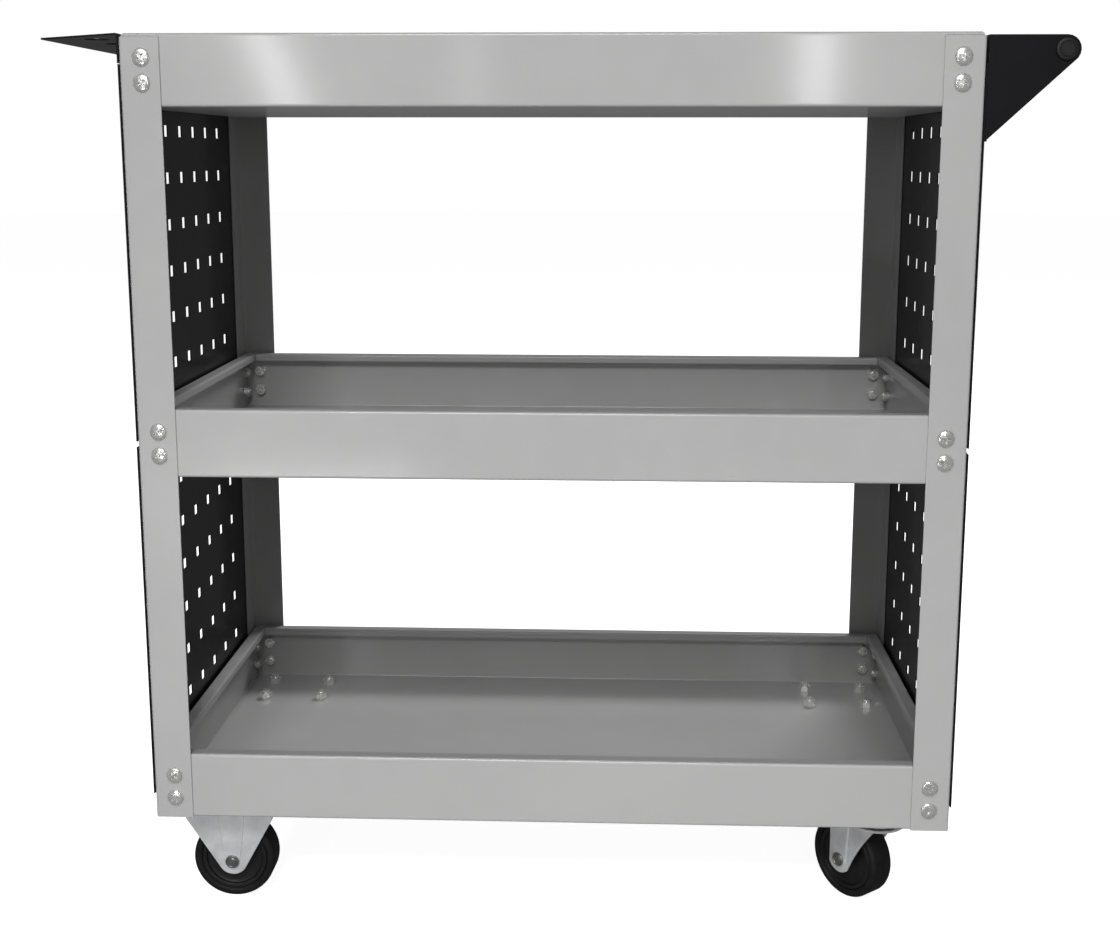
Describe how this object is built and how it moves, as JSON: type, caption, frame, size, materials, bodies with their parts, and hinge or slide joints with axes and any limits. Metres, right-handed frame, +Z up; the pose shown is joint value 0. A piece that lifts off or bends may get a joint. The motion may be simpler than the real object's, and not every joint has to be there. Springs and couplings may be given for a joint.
{
  "type": "tool cart",
  "caption": "Steel tool cart with open trays between angle posts, perforated side panels, a push handle, a tool rack, and fixed and swivel casters.",
  "frame": {"origin": "on the floor under the middle of the whole cart", "axes": "+X along the length towards the push handle, -Y towards the front face, +Z up"},
  "size_m": [0.8586, 0.3654, 0.776],
  "materials": {
    "grey_paint": "semi-gloss powder coat",
    "black_paint": "glossy powder coat",
    "zinc_plate": "bright zinc plate",
    "tyre": "satin rubber",
    "hub_plastic": "satin moulded plastic"
  },
  "bodies": {
    "root": {"post_front_left": "grey_paint", "post_rear_left": "grey_paint", "peg_panel_left_upper": "black_paint", "peg_panel_left_lower": "black_paint", "post_front_right": "grey_paint", "post_rear_right": "grey_paint", "peg_panel_right_upper": "black_paint", "peg_panel_right_lower": "black_paint", "tray_top": "grey_paint", "screw_top_left_upper": "zinc_plate", "screw_top_left_lower": "zinc_plate", "screw_top_right_upper": "zinc_plate", "screw_top_right_lower": "zinc_plate", "tray_middle": "grey_paint", "screw_middle_left_upper": "zinc_plate", "screw_middle_left_lower": "zinc_plate", "screw_middle_right_upper": "zinc_plate", "screw_middle_right_lower": "zinc_plate", "tray_bottom": "grey_paint", "screw_bottom_left_upper": "zinc_plate", "screw_bottom_left_lower": "zinc_plate", "screw_bottom_right_upper": "zinc_plate", "screw_bottom_right_lower": "zinc_plate", "tool_rack": "black_paint", "handle_tube": "black_paint", "handle_bracket_front": "black_paint", "handle_cap_front": "hub_plastic", "handle_bracket_rear": "black_paint", "handle_cap_rear": "hub_plastic", "caster_front_left_fork": "zinc_plate", "caster_front_left_axle_bolt": "zinc_plate", "caster_front_left_axle_nut": "zinc_plate", "caster_rear_left_fork": "zinc_plate", "caster_rear_left_axle_bolt": "zinc_plate", "caster_rear_left_axle_nut": "zinc_plate", "caster_front_right_plate": "zinc_plate", "caster_front_right_race": "zinc_plate", "caster_front_right_balls": "zinc_plate", "caster_front_right_kingpin": "zinc_plate", "caster_rear_right_plate": "zinc_plate", "caster_rear_right_race": "zinc_plate", "caster_rear_right_balls": "zinc_plate", "caster_rear_right_kingpin": "zinc_plate"},
    "wheel_front_left": {"caster_front_left_hub": "hub_plastic", "caster_front_left_tyre": "tyre"},
    "wheel_rear_left": {"caster_rear_left_hub": "hub_plastic", "caster_rear_left_tyre": "tyre"},
    "swivel_front_right": {"caster_front_right_fork": "zinc_plate", "caster_front_right_axle_bolt": "zinc_plate", "caster_front_right_axle_nut": "zinc_plate"},
    "wheel_front_right": {"caster_front_right_hub": "hub_plastic", "caster_front_right_tyre": "tyre"},
    "swivel_rear_right": {"caster_rear_right_fork": "zinc_plate", "caster_rear_right_axle_bolt": "zinc_plate", "caster_rear_right_axle_nut": "zinc_plate"},
    "wheel_rear_right": {"caster_rear_right_hub": "hub_plastic", "caster_rear_right_tyre": "tyre"}
  },
  "joints": [
    {"name": "roll_front_left", "type": "hinge", "parent": "root", "child": "wheel_front_left", "pos_m": [-0.28805, -0.1285, 0.0375], "axis": [0, 1, 0], "continuous": true},
    {"name": "roll_rear_left", "type": "hinge", "parent": "root", "child": "wheel_rear_left", "pos_m": [-0.28805, 0.1285, 0.0375], "axis": [0, 1, 0], "continuous": true},
    {"name": "swivel_front_right", "type": "hinge", "parent": "root", "child": "swivel_front_right", "pos_m": [0.30075, -0.1285, 0.081], "axis": [0, 0, 1], "continuous": true},
    {"name": "roll_front_right", "type": "hinge", "parent": "swivel_front_right", "child": "wheel_front_right", "pos_m": [0.28439, -0.10829, 0.0375], "axis": [-0.7771, -0.6293, 0], "continuous": true},
    {"name": "swivel_rear_right", "type": "hinge", "parent": "root", "child": "swivel_rear_right", "pos_m": [0.30075, 0.1285, 0.081], "axis": [0, 0, 1], "continuous": true},
    {"name": "roll_rear_right", "type": "hinge", "parent": "swivel_rear_right", "child": "wheel_rear_right", "pos_m": [0.27823, 0.1415, 0.0375], "axis": [-0.5, -0.866, 0], "continuous": true}
  ]
}
